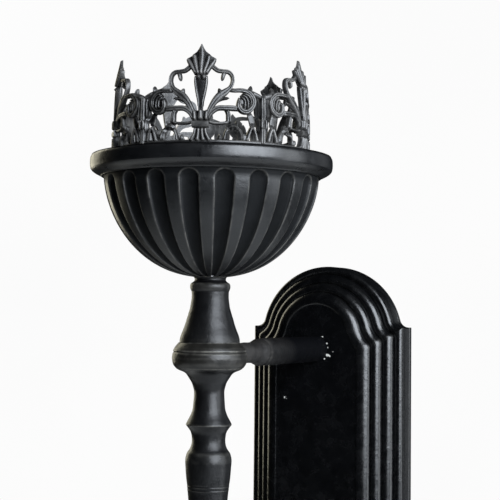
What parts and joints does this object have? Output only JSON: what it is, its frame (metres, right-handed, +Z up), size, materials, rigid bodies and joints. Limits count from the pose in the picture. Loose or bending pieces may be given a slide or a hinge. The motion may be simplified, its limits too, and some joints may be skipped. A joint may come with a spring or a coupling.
{
  "type": "wall candle holder",
  "caption": "Wall candle holder: arched stepped back plate, straight round arm, turned stem, fluted bowl, banded rim and a pierced crown around a lift-out candle pan.",
  "frame": {"origin": "centre of the back plate's wall face", "axes": "+Z up, +Y into the wall; the arm stands out along -Y"},
  "size_m": [0.15, 0.2783, 0.41],
  "materials": {
    "black_paint": "satin",
    "arm_paint": "matte",
    "plated_steel": "satin",
    "black_screws": "satin"
  },
  "bodies": {
    "holder": {"back_plate": "black_paint", "arm": "arm_paint", "arm_washer": "plated_steel", "arm_nut": "plated_steel", "hanger_top": "plated_steel", "hanger_bottom": "plated_steel", "hanger_screws": "plated_steel", "hub_ring": "black_paint", "stem_neck": "black_paint", "stem_lower": "black_paint", "stem_finial": "black_paint", "tie_rod": "plated_steel", "rod_washer": "plated_steel", "rod_nut": "plated_steel", "bowl": "black_paint", "rim_ring": "black_paint", "rim_screws": "black_screws", "crown_panel_1": "black_paint", "crown_panel_2": "black_paint", "crown_panel_3": "black_paint", "crown_panel_4": "black_paint", "crown_panel_5": "black_paint", "crown_screws": "black_screws"},
    "pan": {"candle_pan": "black_paint"}
  },
  "joints": [
    {"name": "pan_lift", "type": "slide", "parent": "holder", "child": "pan", "axis": [0, 0, 1], "range_m": [0, 0.06]}
  ]
}
